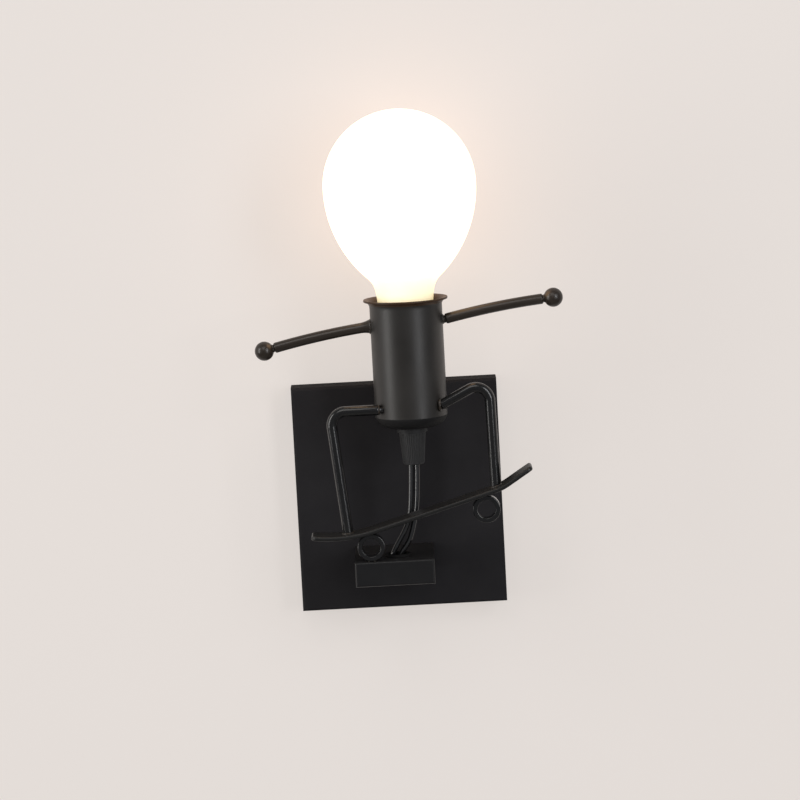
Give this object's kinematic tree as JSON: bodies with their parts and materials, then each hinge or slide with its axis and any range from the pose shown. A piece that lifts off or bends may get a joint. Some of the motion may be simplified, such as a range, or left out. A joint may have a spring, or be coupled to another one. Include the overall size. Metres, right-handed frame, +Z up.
{
  "type": "wall lamp",
  "caption": "Wall lamp shaped like a stick figure riding a board: black steel cup torso, rod limbs, ring wheels, a ledge on a flat canopy and a lit pear-shaped screw-in bulb",
  "frame": {"origin": "middle of the two wall screw holes, on the wall plane", "axes": "+X to the right seen from the room, +Y into the wall, +Z up; the lamp stands out towards -Y"},
  "size_m": [0.1772, 0.1015, 0.2949],
  "materials": {
    "black_paint": "satin powder coat",
    "zinc_steel": "zinc plated",
    "brass": "drawn",
    "black_rubber": "matte",
    "grip_plastic": "fine ribs",
    "wire_sheath": "glossy",
    "ivory_plastic": "moulded",
    "holder_plastic": "moulded",
    "opal_glass": "opal, lit",
    "cap_nickel": "nickel plated",
    "cap_glass": "black, fused",
    "board_green": "lacquered",
    "led_aluminium": "white lacquer",
    "led_phosphor": "moulded"
  },
  "bodies": {
    "fixture": {"canopy": "black_paint", "canopy_screws": "black_paint", "ledge_box": "black_paint", "wheel_left_ring": "black_paint", "wheel_right_ring": "black_paint", "deck": "black_paint", "left_leg": "black_paint", "right_leg": "black_paint", "lamp_cup": "black_paint", "left_arm": "black_paint", "right_arm": "black_paint", "left_hand": "black_paint", "right_hand": "black_paint", "base_collar": "black_paint", "mounting_crossbar": "zinc_steel", "terminal_screws": "zinc_steel", "terminal_block_screw": "zinc_steel", "ledge_back_plate": "zinc_steel", "ledge_screws": "zinc_steel", "hollow_nipple": "zinc_steel", "lock_nut": "zinc_steel", "holder_terminal_screws": "zinc_steel", "earth_screw": "brass", "earth_washer": "brass", "terminal_inserts": "brass", "screw_shell": "brass", "centre_contact": "brass", "holder_terminals": "brass", "canopy_bush": "black_rubber", "ledge_grommet": "black_rubber", "strain_relief": "grip_plastic", "wire_line": "wire_sheath", "wire_neutral": "wire_sheath", "terminal_block": "ivory_plastic", "holder_base": "holder_plastic", "holder_sleeve": "holder_plastic"},
    "bulb_contact": {"cap_contact": "cap_nickel"},
    "bulb": {"bulb_globe": "opal_glass", "bulb_cap": "cap_nickel", "cap_insulator": "cap_glass", "driver_housing": "ivory_plastic", "driver_board": "board_green", "led_plate": "led_aluminium", "led_chips": "led_phosphor"}
  },
  "joints": [
    {"name": "bulb_lift", "type": "slide", "parent": "fixture", "child": "bulb_contact", "axis": [0, 0, 1], "range_m": [0, 0.0254]},
    {"name": "bulb_turn", "type": "hinge", "parent": "bulb_contact", "child": "bulb", "pos_m": [0.0095, -0.058, 0.1], "axis": [0, 0, 1], "range_deg": [0, 2520]}
  ],
  "couplings": [
    {"joint": "bulb_turn", "follows": "bulb_lift", "rad_per_m": 1731.4}
  ]
}
